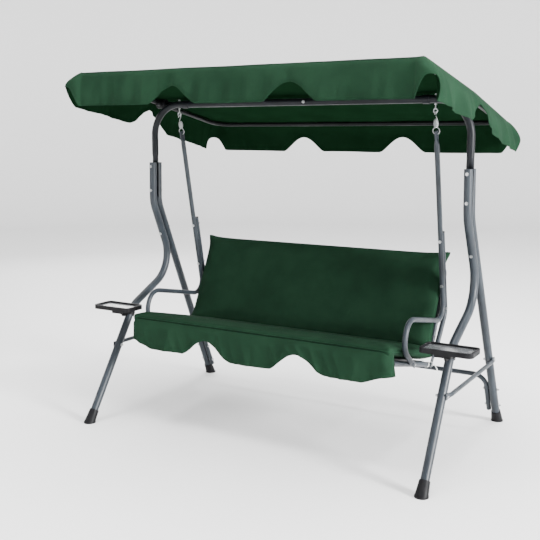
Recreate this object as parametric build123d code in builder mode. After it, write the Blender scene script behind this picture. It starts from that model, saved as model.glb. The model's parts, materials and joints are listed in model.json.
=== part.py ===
from build123d import *
import os
from math import atan, atan2, cos, degrees, hypot, radians, sin, tan

os.makedirs("parts", exist_ok=True)

# Garden swing bench with a tilting canopy. Millimetres, +Z up, the bench faces -Y.
# The origin lies on the ground, midway between the two side frames.

# ---- driving dimensions -------------------------------------------------------------------
LEG_R = 18.0  # leg tube radius
BEAM_R = 16.0  # top beam tube radius
BAR_R = 11.0  # seat frame, hanger and crossbar tube radius
HOOP_R = 10.0  # canopy tube radius
BRACE_R = 9.0  # side brace tube radius
WALL = 1.5  # wall of every steel tube

FOOT_X = 824.0  # leg centre at the ground
FOOT_Y = 500.0  # rear foot; the front foot stands FRONT_REACH ahead
FRONT_REACH = 505.0
LEG_TOP_Z = 1205.0
LEG_BEND_Z = 1006.0  # both legs leave the vertical here
BEAM_X = 803.0
BEAM_Y = 8.0
BEAM_Z = 1486.0
BEAM_BEND = 150.0
TONGUE_T = 4.0  # flattened lower end of the beam's upright, held between the two legs
TONGUE_W = 33.0
TONGUE_LOW = 1032.0
NECK_Z = 1248.0  # the upright is round above this height

HANG_X = 650.0  # hanger arms and springs
PIVOT_Z = 1432.0  # seat swings about the bottom of the eyebolts' eyes
HANG_TILT = 11.6  # hanger arms lean back, degrees
ARM_SLOPE = -0.2  # rise of the armrest per unit of Y
RAIL_X = 632.0
SEAT_TILT = 13.5  # seat falls towards the back, degrees
SEAT_Y = -128.0  # a point of the side rail's centre line
SEAT_Z = 397.0
BACK_TILT = 25.6  # backrest leans from the vertical, degrees

CANOPY_TILT = 11.0  # canopy falls towards the back, degrees
TILT_Y = 36.0  # axis that the canopy tilts about
TILT_Z = 1490.0
HOOP_X = 780.0
HOOP_FRONT = -561.0  # along the canopy's slope, from the tilt axis
HOOP_REAR = 503.0
HOOP_BEND = 90.0

GAP = 0.3  # between faces that only rest together

# ---- planes -------------------------------------------------------------------------------
LEAN = atan((FOOT_X - BEAM_X) / LEG_TOP_Z)
leg_plane = Plane(origin=(FOOT_X, 0, 0), x_dir=(0, 1, 0), z_dir=(cos(LEAN), 0, sin(LEAN)))
hang_plane = Plane(origin=(HANG_X, 0, 0), x_dir=(0, 1, 0), z_dir=(1, 0, 0))

seat_a = radians(SEAT_TILT)
seat_plane = Plane(origin=(0, SEAT_Y, SEAT_Z), x_dir=(1, 0, 0), z_dir=(0, sin(seat_a), cos(seat_a)))
back_a = radians(BACK_TILT)
back_plane = Plane(origin=(0, 90, 400), x_dir=(1, 0, 0), z_dir=(0, -cos(back_a), sin(back_a)))
tilt_a = radians(CANOPY_TILT)
canopy_plane = Plane(
    origin=(0, TILT_Y, TILT_Z), x_dir=(1, 0, 0), z_dir=(0, sin(tilt_a), cos(tilt_a))
)
hang_a = radians(HANG_TILT)
hang_dir = Vector(0, sin(hang_a), -cos(hang_a))  # down along the hanger arm
hang_out = Vector(0, cos(hang_a), sin(hang_a))  # square to it, towards the back


def hang_point(along, out=0.0, x=HANG_X):
    """A point given by its distance down the hanger from the swing's axis."""
    return Vector(x, BEAM_Y, PIVOT_Z) + hang_dir * along + hang_out * out


def write(part, name):
    part.label = name
    export_step(part, f"parts/{name}.step")


def write_pair(part, name):
    """The right-hand piece as made, and its mirror image for the left."""
    write(part, f"right_{name}")
    write(mirror(part, about=Plane.YZ), f"left_{name}")


def rod(start, direction, radius, length):
    """A plain cylinder from a point along a direction, for pins, shanks and drilled holes."""
    place = Plane(origin=start, z_dir=direction)
    return place * Pos(0, 0, length / 2) * Cylinder(radius, length)


def tube_solid(path, radius, wall=WALL):
    """A round tube swept along a wire, hollow where a wall is given."""
    with BuildPart() as tube:
        with BuildSketch(Plane(origin=path @ 0, z_dir=path % 0)):
            Circle(radius)
            if wall:
                Circle(radius - wall, mode=Mode.SUBTRACT)
        sweep(path=path)
    return tube.part


def bent_wire(plane, points, radii):
    with BuildLine(plane) as line:
        FilletPolyline(*points, radius=radii)
    return line.wire()


BOLT_R = 3.0
HOLE_R = 3.3
HEAD_R = 6.2
HEAD_T = 4.0


def bolt(start, direction, grip):
    """A hexagon bolt from the underside of its head, with washers and a nut at its far end."""
    under_head = Plane(origin=start, z_dir=direction)
    with BuildPart() as made:
        with BuildSketch(under_head.offset(-1.2 - HEAD_T)):
            RegularPolygon(HEAD_R, 6)
        extrude(amount=HEAD_T)
        with BuildSketch(under_head.offset(-1.2)):
            Circle(HEAD_R + 0.8)
        extrude(amount=1.2)
        with BuildSketch(under_head.offset(-1.2)):
            Circle(BOLT_R)
        extrude(amount=grip + 1.2 + 9.5)
        with BuildSketch(under_head.offset(grip)):
            Circle(HEAD_R + 0.8)
        extrude(amount=1.2)
        with BuildSketch(under_head.offset(grip + 1.2)):
            RegularPolygon(HEAD_R - 0.4, 6)
        extrude(amount=5.5)
    return made.part


def drilled(solid, bolts):
    """The solid with a clearance hole for each bolt that passes through it."""
    for start, direction, grip in bolts:
        solid = solid - rod(start - direction * 4, direction, HOLE_R, grip + 8)
    return solid


# ---- legs ---------------------------------------------------------------------------------
LEG_GAP = LEG_R + TONGUE_T / 2 + GAP
front_top_y = BEAM_Y - LEG_GAP
rear_top_y = BEAM_Y + LEG_GAP
rear_slope = (FOOT_Y - rear_top_y) / LEG_BEND_Z
SLANT = atan(rear_slope)
FOOT_CLEAR = 14.0  # centre of each tube's cut end above the ground

front_knee_v = 667.0  # the front leg turns forward here
front_knee_y = front_top_y + rear_slope * (LEG_BEND_Z - front_knee_v)
front_shin_y = -179.0
front_shin_v = 509.0
FRONT_SLOPE = (FRONT_REACH + front_shin_y) / front_shin_v
FRONT_SLANT = atan(FRONT_SLOPE)

front_leg_wire = bent_wire(
    leg_plane,
    [
        (-FRONT_REACH + FRONT_SLOPE * FOOT_CLEAR, FOOT_CLEAR),
        (front_shin_y, front_shin_v),
        (front_knee_y, front_knee_v),
        (front_top_y, LEG_BEND_Z),
        (front_top_y, LEG_TOP_Z),
    ],
    [150, 155, 160],
)
rear_leg_wire = bent_wire(
    leg_plane,
    [
        (FOOT_Y - rear_slope * FOOT_CLEAR, FOOT_CLEAR),
        (rear_top_y, LEG_BEND_Z),
        (rear_top_y, LEG_TOP_Z),
    ],
    [160],
)

ACROSS = leg_plane.z_dir  # square to the side frame, outwards


def leg_point(y, v, out=0.0):
    """A point of the leaning side frame, and how far outwards from its middle."""
    return leg_plane.from_local_coords(Vector(y, v, out))


STACK = 4 * LEG_R + TONGUE_T + 2 * GAP  # both legs and the tongue
upper_bolts = [
    (leg_point(BEAM_Y - STACK / 2, v), Vector(0, 1, 0), STACK) for v in (1067.0, 1185.0)
]
knee_v = 858.0
knee_mid_y = BEAM_Y + rear_slope * (LEG_BEND_Z - knee_v)
knee_dir_local = Vector(cos(SLANT), sin(SLANT), 0)
knee_stack = 2 * LEG_R + 2 * LEG_GAP * cos(SLANT)
knee_mid = leg_point(knee_mid_y, knee_v)
knee_dir = (leg_plane.from_local_coords(knee_dir_local) - leg_plane.origin).normalized()
knee_bolt = (knee_mid - knee_dir * (knee_stack / 2), knee_dir, knee_stack)
frame_bolts = upper_bolts + [knee_bolt]

# Side brace: a level tube outside the legs, flattened where it is bolted on.
BRACE_V = 334.0
brace_front_y = -FRONT_REACH + FRONT_SLOPE * BRACE_V
brace_rear_y = FOOT_Y - rear_slope * BRACE_V
TAB_T = 4.0
brace_out = LEG_R + GAP + TAB_T / 2
brace_bolts = [
    (leg_point(y, BRACE_V, LEG_R + GAP + TAB_T), -ACROSS, 2 * LEG_R + GAP + TAB_T)
    for y in (brace_front_y, brace_rear_y)
]

# Rear crossbar: a wide U in the plane of the rear legs, bolted to their inner faces.
bar_plane = Plane(
    origin=(0, FOOT_Y, 0), x_dir=(1, 0, 0), z_dir=(0, -cos(SLANT), -sin(SLANT))
)
BAR_LOW = 68.0
BAR_TOP = 272.0
bar_x = FOOT_X - (BAR_TOP / 2) * cos(SLANT) * tan(LEAN) - LEG_R - BAR_R - 1.6
bar_bolts = [
    (
        bar_plane.from_local_coords(Vector(bar_x - BAR_R, y, 0)),
        Vector(1, 0, 0),
        2 * BAR_R + 2 * LEG_R + 2.4,
    )
    for y in (100.0, 195.0)
]

front_leg = drilled(tube_solid(front_leg_wire, LEG_R), frame_bolts + brace_bolts[:1])
rear_leg = drilled(tube_solid(rear_leg_wire, LEG_R), frame_bolts + brace_bolts[1:] + bar_bolts)
write_pair(front_leg, "front_leg")
write_pair(rear_leg, "rear_leg")


def bolt_set(bolts):
    """Right and left bolts of one kind together, as separate solids in one compound."""
    right = [bolt(*spec) for spec in bolts]
    return Compound(children=right + [mirror(b, about=Plane.YZ) for b in right])


write(bolt_set(frame_bolts), "side_frame_bolts")
write(bolt_set(brace_bolts), "brace_bolts")
write(bolt_set(bar_bolts), "crossbar_bolts")

bar_wire = bent_wire(
    bar_plane,
    [(bar_x, BAR_LOW), (bar_x, BAR_TOP), (-bar_x, BAR_TOP), (-bar_x, BAR_LOW)],
    [60, 60],
)
left_bar_bolts = [(Vector(-s.X, s.Y, s.Z), Vector(-1, 0, 0), g) for s, d, g in bar_bolts]
crossbar = drilled(tube_solid(bar_wire, BAR_R), bar_bolts + left_bar_bolts)
write(crossbar, "rear_crossbar")


def tab_end(plane, radius, width, thick, shift, taper, flat):
    """A tube's end squeezed flat: a taper from the round to a slot, then the flat tab.

    plane looks along the tube's run out, its x across the tab's thickness; shift is where
    the tab's middle lies along that x."""
    with BuildPart() as tab:
        with BuildSketch(plane):
            Circle(radius)
        with BuildSketch(plane.offset(taper)):
            with Locations((shift, 0)):
                Rectangle(thick, width)
        loft()
        with BuildSketch(plane.offset(taper)):
            with Locations((shift, 0)):
                Rectangle(thick, width)
        extrude(amount=flat)
    return tab.part


# Braces
BRACE_IN = 42.0  # the tube is round this far in from its bolts
BRACE_TAPER = 28.0
brace_run_out = brace_out + 4.5
with BuildLine(leg_plane.offset(brace_run_out)) as brace_line:
    Line((brace_front_y + BRACE_IN, BRACE_V), (brace_rear_y - BRACE_IN, BRACE_V))
brace = tube_solid(brace_line.wire(), BRACE_R)
for y, way in ((brace_front_y, -1), (brace_rear_y, 1)):
    start = leg_point(y - way * BRACE_IN, BRACE_V, brace_run_out)
    end_plane = Plane(origin=start, x_dir=ACROSS, z_dir=(0, way, 0))
    flat_length = BRACE_IN - BRACE_TAPER + 13
    brace = brace + tab_end(
        end_plane, BRACE_R, 24, TAB_T, brace_out - brace_run_out, BRACE_TAPER, flat_length
    )
write_pair(drilled(brace, brace_bolts), "side_brace")

# Feet: moulded caps with a level base
CAP_R = 21.5
PAD_R = 28.0
CAP_UP = 46.0


def foot(wire, slant, way):
    """A cap over a leg's end; the base is level and the socket follows the leg."""
    end = wire @ 0
    up = (wire % 0).normalized()
    base = Vector(end.X, end.Y, 0) + Vector(0, way * FOOT_CLEAR * tan(slant), 0)
    with BuildPart() as cap:
        with BuildSketch(Plane(origin=base)):
            Circle(PAD_R)
        extrude(amount=6)
        with BuildSketch(Plane(origin=base + Vector(0, 0, 6))):
            Circle(PAD_R - 1.5)
        with BuildSketch(Plane(origin=end + up * CAP_UP, z_dir=up)):
            Circle(CAP_R)
        loft()
    return cap.part - rod(end, up, LEG_R + 0.1, CAP_UP + 20)


write_pair(foot(front_leg_wire, FRONT_SLANT, -1), "front_foot")
write_pair(foot(rear_leg_wire, SLANT, 1), "rear_foot")

# ---- top beam -----------------------------------------------------------------------------
SPIGOT_LENGTH = 85.0
beam_plane = Plane(origin=(0, BEAM_Y, 0), x_dir=(1, 0, 0), z_dir=(0, -1, 0))
joint_screw = (Vector(42, BEAM_Y - BEAM_R, BEAM_Z), Vector(0, 1, 0), 12.0)
EYE_R = 8.0
EYE_WIRE = 3.0
eye_hole = (Vector(HANG_X, BEAM_Y, BEAM_Z - BEAM_R), Vector(0, 0, 1), 2 * BEAM_R)

beam_wire = bent_wire(
    beam_plane, [(BEAM_X, NECK_Z), (BEAM_X, BEAM_Z), (0, BEAM_Z)], [BEAM_BEND]
)
neck_plane = Plane(origin=(BEAM_X, BEAM_Y, NECK_Z), x_dir=(0, 1, 0), z_dir=(0, 0, -1))
NECK_TAPER = NECK_Z - LEG_TOP_Z
tongue = tab_end(
    neck_plane, BEAM_R, TONGUE_W, TONGUE_T, 0, NECK_TAPER, LEG_TOP_Z - TONGUE_LOW
)
beam_half = drilled(
    tube_solid(beam_wire, BEAM_R) + tongue, upper_bolts + [eye_hole]
)
write(drilled(beam_half, [joint_screw]), "right_beam_half")
with BuildPart() as spigot:
    with BuildSketch(Plane(origin=(-60, BEAM_Y, BEAM_Z), z_dir=(1, 0, 0))):
        Circle(BEAM_R - WALL - 0.1)
        Circle(BEAM_R - 2 * WALL - 0.1, mode=Mode.SUBTRACT)
    extrude(amount=60 + SPIGOT_LENGTH)
write(mirror(beam_half, about=Plane.YZ), "left_beam_half")
write(drilled(spigot.part, [joint_screw]), "beam_spigot")

# A self-tapping screw joins the halves: it has no nut, because the canopy's rail is close behind
screw_face = Plane(origin=joint_screw[0], z_dir=joint_screw[1])
with BuildPart() as screw:
    with BuildSketch(screw_face.offset(-1.2 - HEAD_T)):
        RegularPolygon(HEAD_R, 6)
    extrude(amount=HEAD_T)
    with BuildSketch(screw_face.offset(-1.2)):
        Circle(HEAD_R + 0.8)
    extrude(amount=1.2)
    with BuildSketch(screw_face):
        Circle(BOLT_R)
    extrude(amount=joint_screw[2])
write(screw.part, "beam_joint_screw")

# Eyebolts: the seat's springs hook under the beam
eye_centre = Vector(HANG_X, BEAM_Y, PIVOT_Z + EYE_R)
with BuildPart() as eyebolt:
    with BuildSketch(Plane(origin=eye_centre + Vector(EYE_R, 0, 0), z_dir=(0, 0, 1))):
        Circle(EYE_WIRE)
    revolve(axis=Axis(eye_centre, (0, 1, 0)))
    with BuildSketch(Plane(origin=eye_centre + Vector(0, 0, EYE_R))):
        Circle(EYE_WIRE)
    extrude(amount=BEAM_Z + BEAM_R + 7 - PIVOT_Z - 2 * EYE_R)
    with BuildSketch(Plane(origin=(HANG_X, BEAM_Y, BEAM_Z + BEAM_R + 0.2))):
        Circle(7)
    extrude(amount=1.5)
    with BuildSketch(Plane(origin=(HANG_X, BEAM_Y, BEAM_Z + BEAM_R + 1.7))):
        RegularPolygon(5.8, 6)
    extrude(amount=4.5)
    with BuildSketch(Plane(origin=(HANG_X, BEAM_Y, BEAM_Z - BEAM_R - 7))):
        RegularPolygon(5.8, 6)
    extrude(amount=5.5)
write_pair(eyebolt.part, "eyebolt")

# ---- springs ------------------------------------------------------------------------------
COIL_R = 8.7
COIL_WIRE = 1.75
HOOK_R = 9.0
LINK_R = 14.5
HOLE_DOWN = 89.0  # hole in the hanger arm's flattened top, below the swing's axis
COIL_TOP = 27.0
TURNS = 10
TURN_PITCH = 3.35


def ring(centre, axis, radius, wire):
    """A closed ring of wire about an axis."""
    place = Plane(origin=centre, z_dir=axis)
    return place * Torus(radius, wire)


hook_centre = hang_point(HOOK_R - EYE_WIRE - COIL_WIRE - 0.3)
link_centre = hang_point(HOLE_DOWN - LINK_R)
COIL_END = COIL_TOP + (TURNS - 1) * TURN_PITCH
neck_from = (HOOK_R - EYE_WIRE - COIL_WIRE - 0.3) + HOOK_R
spring = ring(hook_centre, (1, 0, 0), HOOK_R, COIL_WIRE)
spring = spring + rod(hang_point(neck_from), hang_dir, COIL_WIRE, COIL_TOP - neck_from + 2)
spring = spring + rod(hang_point(COIL_TOP - 1.5), hang_dir, COIL_R, COIL_END - COIL_TOP + 3)
for turn in range(TURNS):
    at = hang_point(COIL_TOP + turn * TURN_PITCH)
    bulge = sin(3.1416 * (turn + 0.5) / TURNS)
    spring = spring + ring(at, hang_dir, COIL_R - 1.5 + 2.0 * bulge, COIL_WIRE)
spring = spring + rod(
    hang_point(COIL_END), hang_dir, COIL_WIRE, HOLE_DOWN - 2 * LINK_R - COIL_END
)
spring = spring + ring(link_centre, hang_out, LINK_R, COIL_WIRE)
write_pair(spring, "spring")

# ---- hanger arms --------------------------------------------------------------------------
EYE_FLAT_W = 30.0
EYE_FLAT_T = 7.0
arm_corner_z = (563 + ARM_SLOPE * (BEAM_Y + tan(hang_a) * PIVOT_Z)) / (1 - 0.2 * tan(hang_a))
arm_corner_y = BEAM_Y + tan(hang_a) * (PIVOT_Z - arm_corner_z)
ROUND_FROM = HOLE_DOWN + 46.0  # the arm is a full round tube below this
arm_top = hang_point(ROUND_FROM)
ARM_END_Y = -202.0
ARM_END_Z = 431.0
arm_wire = bent_wire(
    hang_plane,
    [
        (arm_top.Y, arm_top.Z),
        (arm_corner_y, arm_corner_z),
        (-240, 563 + ARM_SLOPE * -240),
        (-283, 495),
        (ARM_END_Y, ARM_END_Z),
    ],
    [60, 70, 70],
)


def rail_point(along, x=RAIL_X, up=0.0):
    """A point by its distance along the seat's slope from its reference point."""
    return seat_plane.from_local_coords(Vector(x, along, up))


arm_bolt_at = rail_point(-20)
TAB_X = RAIL_X + BAR_R + GAP  # tabs lie against the rail's outer face
arm_down = Vector(0, arm_bolt_at.Y - ARM_END_Y, arm_bolt_at.Z - ARM_END_Z).normalized()
arm_end_plane = Plane(
    origin=(HANG_X, ARM_END_Y, ARM_END_Z), x_dir=(1, 0, 0), z_dir=arm_down
)
arm_tab_length = hypot(arm_bolt_at.Y - ARM_END_Y, arm_bolt_at.Z - ARM_END_Z) + 12
ARM_TAPER = 26.0
arm_tab = tab_end(
    arm_end_plane,
    BAR_R,
    24,
    TAB_T,
    TAB_X + TAB_T / 2 - HANG_X,
    ARM_TAPER,
    arm_tab_length - ARM_TAPER,
)
arm_eye_plane = Plane(origin=arm_top, x_dir=(1, 0, 0), z_dir=hang_dir * -1)
arm_eye = tab_end(
    arm_eye_plane, BAR_R, EYE_FLAT_W, EYE_FLAT_T, 0, 30, ROUND_FROM - HOLE_DOWN - 30 + 13
)
link_hole = rod(hang_point(HOLE_DOWN) - Vector(20, 0, 0), Vector(1, 0, 0), 4.5, 40)

# Uprights: a second tube behind each hanger arm, running down to the seat rail's end
UPRIGHT_OUT = 2 * BAR_R + 1.0
upright_top = hang_point(522, UPRIGHT_OUT)
upright_knee = hang_point(896, UPRIGHT_OUT)
rail_bolt_at = rail_point(192)
UPRIGHT_FLAT = 62.0  # from here to the bolt the tube is tapered and flat
upright_down = Vector(
    0, rail_bolt_at.Y - upright_knee.Y, rail_bolt_at.Z - upright_knee.Z
).normalized()
upright_foot = Vector(HANG_X, rail_bolt_at.Y, rail_bolt_at.Z) - upright_down * UPRIGHT_FLAT
upright_wire = bent_wire(
    hang_plane,
    [
        (upright_top.Y, upright_top.Z),
        (upright_knee.Y, upright_knee.Z),
        (upright_foot.Y, upright_foot.Z),
    ],
    [70],
)
upright_tab = tab_end(
    Plane(origin=upright_foot, x_dir=(1, 0, 0), z_dir=upright_down),
    BAR_R,
    24,
    TAB_T,
    TAB_X + TAB_T / 2 - HANG_X,
    30,
    UPRIGHT_FLAT - 30 + 12,
)

pair_bolts = [
    (hang_point(s, -BAR_R), hang_out, 4 * BAR_R + 1) for s in (555.0, 760.0)
]
rail_bolts = [
    (Vector(TAB_X + TAB_T, at.Y, at.Z), Vector(-1, 0, 0), TAB_T + GAP + 2 * BAR_R)
    for at in (arm_bolt_at, rail_bolt_at)
]

# Back frame: an upside-down U on the seat rails, bolted to the hanger arms where it passes
BACK_X = RAIL_X - 6.0
BACK_R = 9.5
BACK_TOP = 424.0  # along the backrest
back_low = 8.0
back_wire = bent_wire(
    back_plane.offset(-BACK_R - 2.5),
    [(BACK_X, back_low), (BACK_X, BACK_TOP), (-BACK_X, BACK_TOP), (-BACK_X, back_low)],
    [70, 70],
)
BACK_BOLT_UP = 206.0
back_bolt_at = back_plane.offset(-BACK_R - 2.5).from_local_coords(Vector(BACK_X, BACK_BOLT_UP, 0))
back_bolt = (
    Vector(HANG_X + BAR_R, back_bolt_at.Y, back_bolt_at.Z),
    Vector(-1, 0, 0),
    HANG_X + BAR_R - BACK_X + BACK_R,
)
left_back_bolt = (
    Vector(-back_bolt[0].X, back_bolt[0].Y, back_bolt[0].Z),
    Vector(1, 0, 0),
    back_bolt[2],
)

hanger_arm = tube_solid(arm_wire, BAR_R) + arm_tab + arm_eye - link_hole
write_pair(drilled(hanger_arm, pair_bolts + rail_bolts[:1] + [back_bolt]), "hanger_arm")
upright = tube_solid(upright_wire, BAR_R) + upright_tab
write_pair(drilled(upright, pair_bolts + rail_bolts[1:]), "back_upright")
write(drilled(tube_solid(back_wire, BACK_R), [back_bolt, left_back_bolt]), "back_frame")
write(bolt_set(pair_bolts), "upright_bolts")
write(bolt_set(rail_bolts), "rail_bolts")
write(bolt_set([back_bolt]), "back_frame_bolts")

with BuildPart() as upright_cap:
    with BuildSketch(Plane(origin=upright_top, z_dir=hang_dir * -1)):
        Circle(BAR_R)
    extrude(amount=3)
    with BuildSketch(Plane(origin=upright_top, z_dir=hang_dir)):
        Circle(BAR_R - WALL)
    extrude(amount=12)
cap_pair = [upright_cap.part, mirror(upright_cap.part, about=Plane.YZ)]
write(Compound(children=cap_pair), "upright_caps")

# ---- seat frame ---------------------------------------------------------------------------
RAIL_FRONT = -228.0
RAIL_REAR = 216.0
FRONT_TUBE = -212.0
REAR_TUBE = 168.0


def along_seat(x_from, x_to, along):
    return rod(rail_point(along, x_from), Vector(1, 0, 0), BAR_R, x_to - x_from)


rail_axis = seat_plane.y_dir
side_rail = rod(rail_point(RAIL_FRONT), rail_axis, BAR_R, RAIL_REAR - RAIL_FRONT)
side_rail = side_rail - rod(
    rail_point(RAIL_FRONT - 1), rail_axis, BAR_R - WALL, RAIL_REAR - RAIL_FRONT + 2
)
write_pair(drilled(side_rail, rail_bolts), "side_rail")


def cross_tube(along):
    reach = RAIL_X - BAR_R
    outer = along_seat(-reach, reach, along)
    bore = rod(rail_point(along, -reach - 1), Vector(1, 0, 0), BAR_R - WALL, 2 * reach + 2)
    return outer - bore


write(cross_tube(FRONT_TUBE), "seat_front_tube")
write(cross_tube(REAR_TUBE), "seat_rear_tube")

rail_cap_solids = []
for along, way in ((RAIL_FRONT, -1), (RAIL_REAR, 1)):
    with BuildPart() as rail_cap:
        with BuildSketch(Plane(origin=rail_point(along), z_dir=rail_axis * way)):
            Circle(BAR_R)
        extrude(amount=2.5)
        with BuildSketch(Plane(origin=rail_point(along), z_dir=rail_axis * -way)):
            Circle(BAR_R - WALL)
        extrude(amount=8)
    rail_cap_solids += [rail_cap.part, mirror(rail_cap.part, about=Plane.YZ)]
write(Compound(children=rail_cap_solids), "rail_caps")

# Slings: black cloth stretched on the seat's tubes and on the back frame
SLING_T = 2.0
sling_x = RAIL_X - BAR_R - 4
with BuildPart() as seat_sling:
    with BuildSketch(seat_plane.offset(BAR_R + GAP)):
        with Locations((0, (FRONT_TUBE + REAR_TUBE) / 2)):
            Rectangle(2 * sling_x, REAR_TUBE - FRONT_TUBE + 14)
    extrude(amount=SLING_T)
write(seat_sling.part, "seat_sling")

BACK_SLING_LOW = 46.0
with BuildPart() as back_sling:
    with BuildSketch(back_plane.offset(-SLING_T - GAP)):
        with Locations((0, (BACK_SLING_LOW + BACK_TOP + 4) / 2)):
            Rectangle(2 * (BACK_X + 4), BACK_TOP + 4 - BACK_SLING_LOW)
    extrude(amount=SLING_T)
write(back_sling.part, "back_sling")

# ---- cushions -----------------------------------------------------------------------------
SEAT_PAD_X = 634.0
SEAT_PAD_LOW = BAR_R + SLING_T + 2 * GAP
SEAT_PAD_TOP = 84.0
SEAT_PAD_FRONT = -262.0
SEAT_PAD_REAR = 196.0
with BuildPart() as seat_cushion:
    with BuildSketch(seat_plane.offset(SEAT_PAD_LOW)):
        with Locations((0, (SEAT_PAD_FRONT + SEAT_PAD_REAR) / 2)):
            Rectangle(2 * SEAT_PAD_X, SEAT_PAD_REAR - SEAT_PAD_FRONT)
    extrude(amount=SEAT_PAD_TOP - SEAT_PAD_LOW)
    fillet(seat_cushion.edges(), 14)
seat_pad = seat_cushion.part - rod(rail_point(FRONT_TUBE, -700), (1, 0, 0), BAR_R + 2, 1400)
write(seat_pad, "seat_cushion")

BACK_PAD_X = 628.0
BACK_PAD_T = 62.0
BACK_PAD_LOW = 52.0
BACK_PAD_TOP = 448.0
with BuildPart() as back_cushion:
    with BuildSketch(back_plane.offset(GAP)):
        with Locations((0, (BACK_PAD_LOW + BACK_PAD_TOP) / 2)):
            Rectangle(2 * BACK_PAD_X, BACK_PAD_TOP - BACK_PAD_LOW)
    extrude(amount=BACK_PAD_T)
    fillet(back_cushion.edges(), 14)
    with BuildSketch(seat_plane.offset(SEAT_PAD_TOP + 1)):
        Rectangle(1500, 900)
    extrude(amount=-200, mode=Mode.SUBTRACT)
write(back_cushion.part, "back_cushion")

# Valance: the skirt in front of the seat, three lobes
VALANCE_Y = -393.0
VALANCE_T = 3.0
VALANCE_TOP = 506.0
VALANCE_LOW = 374.0
VALANCE_NOTCH_X = 226.0
with BuildPart() as valance:
    with BuildSketch(Plane(origin=(0, VALANCE_Y, 0), x_dir=(1, 0, 0), z_dir=(0, -1, 0))) as face:
        with Locations((0, (VALANCE_TOP + VALANCE_LOW) / 2)):
            Rectangle(2 * SEAT_PAD_X, VALANCE_TOP - VALANCE_LOW)
        fillet(face.vertices().group_by(Axis.Z)[0], 34)
        with Locations((-VALANCE_NOTCH_X, VALANCE_LOW), (VALANCE_NOTCH_X, VALANCE_LOW)):
            Ellipse(105, 70, mode=Mode.SUBTRACT)
    extrude(amount=VALANCE_T)
write(valance.part, "seat_valance")

# ---- canopy -------------------------------------------------------------------------------
HUB_R = 22.0
HUB_IN = 764.0
HUB_OUT = 800.0
HUB_FIT = 0.4  # the hubs turn on the rail's ends
RAIL_END = HUB_OUT - 4.0
RAIL_R = 11.0
HOOP_START = 15.0  # a hoop's cut end, from the tilt axis, inside its hub
SADDLE_X = 610.0
SADDLE_W = 30.0
SADDLE_T = 3.0


def canopy_point(x, along, up=0.0):
    return canopy_plane.from_local_coords(Vector(x, along, up))


# Centre rail: fixed to the beam by two saddles; the hubs turn on its ends
with BuildPart() as centre_rail:
    with BuildSketch(Plane(origin=(-RAIL_END, TILT_Y, TILT_Z), z_dir=(1, 0, 0))):
        Circle(RAIL_R)
        Circle(RAIL_R - WALL, mode=Mode.SUBTRACT)
    extrude(amount=2 * RAIL_END)
write(centre_rail.part, "canopy_centre_rail")

# Saddles: steel straps bent round the beam and the rail, pinched by a bolt between the two
SADDLE_GAP = 0.2
saddle_plane = Plane(origin=(SADDLE_X - SADDLE_W / 2, 0, 0), x_dir=(0, 1, 0), z_dir=(1, 0, 0))
with BuildPart() as saddle:
    with BuildSketch(saddle_plane):
        with Locations((BEAM_Y, BEAM_Z)):
            Circle(BEAM_R + SADDLE_GAP + SADDLE_T)
        with Locations((TILT_Y, TILT_Z)):
            Circle(RAIL_R + SADDLE_GAP + SADDLE_T)
        with Locations(((BEAM_Y + TILT_Y) / 2, (BEAM_Z + TILT_Z) / 2)):
            Rectangle(TILT_Y - BEAM_Y, 22)
        with Locations((BEAM_Y, BEAM_Z)):
            Circle(BEAM_R + SADDLE_GAP, mode=Mode.SUBTRACT)
        with Locations((TILT_Y, TILT_Z)):
            Circle(RAIL_R + SADDLE_GAP, mode=Mode.SUBTRACT)
    extrude(amount=SADDLE_W)
write_pair(saddle.part, "rail_saddle")

# Hoops: one U in front of the rail and one behind it, their ends plugged into the hubs
for name, reach in (("canopy_front_hoop", HOOP_FRONT), ("canopy_rear_hoop", HOOP_REAR)):
    start = HOOP_START if reach > 0 else -HOOP_START
    corners = [(HOOP_X, start), (HOOP_X, reach), (-HOOP_X, reach), (-HOOP_X, start)]
    hoop_wire = bent_wire(canopy_plane, corners, [HOOP_BEND, HOOP_BEND])
    write(tube_solid(hoop_wire, HOOP_R), name)

# Hubs: a moulded boss on the rail with a socket for each hoop
SOCKET_R = HOOP_R + 4.0
SOCKET_END = 44.0
with BuildPart() as hub:
    with BuildSketch(Plane(origin=(HUB_IN, TILT_Y, TILT_Z), z_dir=(1, 0, 0))):
        Circle(HUB_R)
    extrude(amount=HUB_OUT - HUB_IN)
    fillet(hub.edges().sort_by(Axis.X)[-1], 4)
    for way in (-1, 1):
        with BuildSketch(Plane(origin=(HOOP_X, TILT_Y, TILT_Z), z_dir=canopy_plane.y_dir * way)):
            Circle(SOCKET_R)
        extrude(amount=SOCKET_END)
rail_bore = rod(Vector(HUB_IN - 1, TILT_Y, TILT_Z), Vector(1, 0, 0), RAIL_R + HUB_FIT, 60)
hub_part = hub.part - rail_bore
for way in (-1, 1):
    socket = rod(canopy_point(HOOP_X, way * (HOOP_START - 0.2)), canopy_plane.y_dir * way, HOOP_R + 0.1, 60)
    hub_part = hub_part - socket
write_pair(hub_part, "canopy_hub")

# Tilt collars: ribbed ring nuts on the rail that lock the hubs
COLLAR_IN = 748.0
COLLAR_R = 21.0
COLLAR_RIBS = 14
with BuildPart() as collar:
    with BuildSketch(Plane(origin=(COLLAR_IN, TILT_Y, TILT_Z), z_dir=(1, 0, 0))):
        Circle(COLLAR_R)
        with PolarLocations(COLLAR_R, COLLAR_RIBS):
            Circle(1.8, mode=Mode.SUBTRACT)
        Circle(RAIL_R + HUB_FIT, mode=Mode.SUBTRACT)
    extrude(amount=HUB_IN - 0.4 - COLLAR_IN)
write_pair(collar.part, "tilt_collar")

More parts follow.
